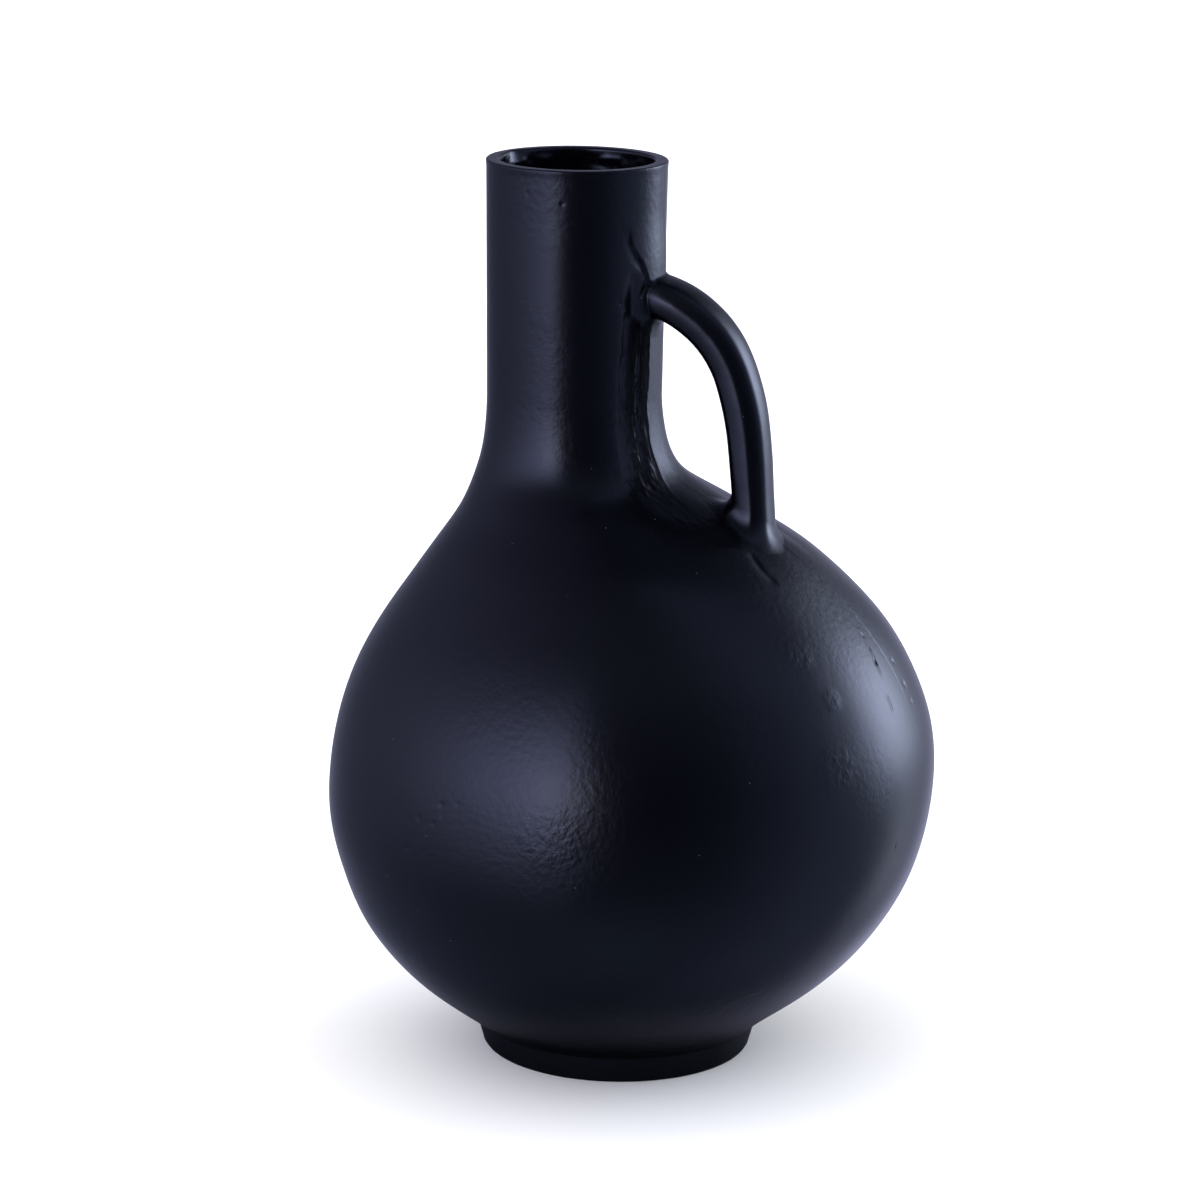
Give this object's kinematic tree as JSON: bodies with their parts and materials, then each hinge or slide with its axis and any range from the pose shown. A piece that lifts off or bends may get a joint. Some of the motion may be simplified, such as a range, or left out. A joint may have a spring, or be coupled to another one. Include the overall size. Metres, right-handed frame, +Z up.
{
  "type": "one-handled bottle vase",
  "caption": "Round-bellied bottle vase with an off-centre straight neck, a slender loop handle from neck to shoulder and a low foot ring, satin black.",
  "frame": {"origin": "on the surface it stands on, under the middle of the belly's widest ring", "axes": "+Z up, +X towards the handle, and the pressed halves meet on the plane Y = 0"},
  "size_m": [0.2035, 0.2024, 0.3],
  "materials": {
    "black_satin_glaze": "satin",
    "seam_slip": "satin",
    "foot_clay": "satin"
  },
  "bodies": {
    "root": {"front_half": "black_satin_glaze", "back_half": "black_satin_glaze", "handle_side_seam": "seam_slip", "far_side_seam": "seam_slip", "handle": "black_satin_glaze", "upper_root_collar": "black_satin_glaze", "lower_root_collar": "black_satin_glaze", "foot_ring": "foot_clay", "base_disc": "foot_clay"}
  },
  "joints": []
}
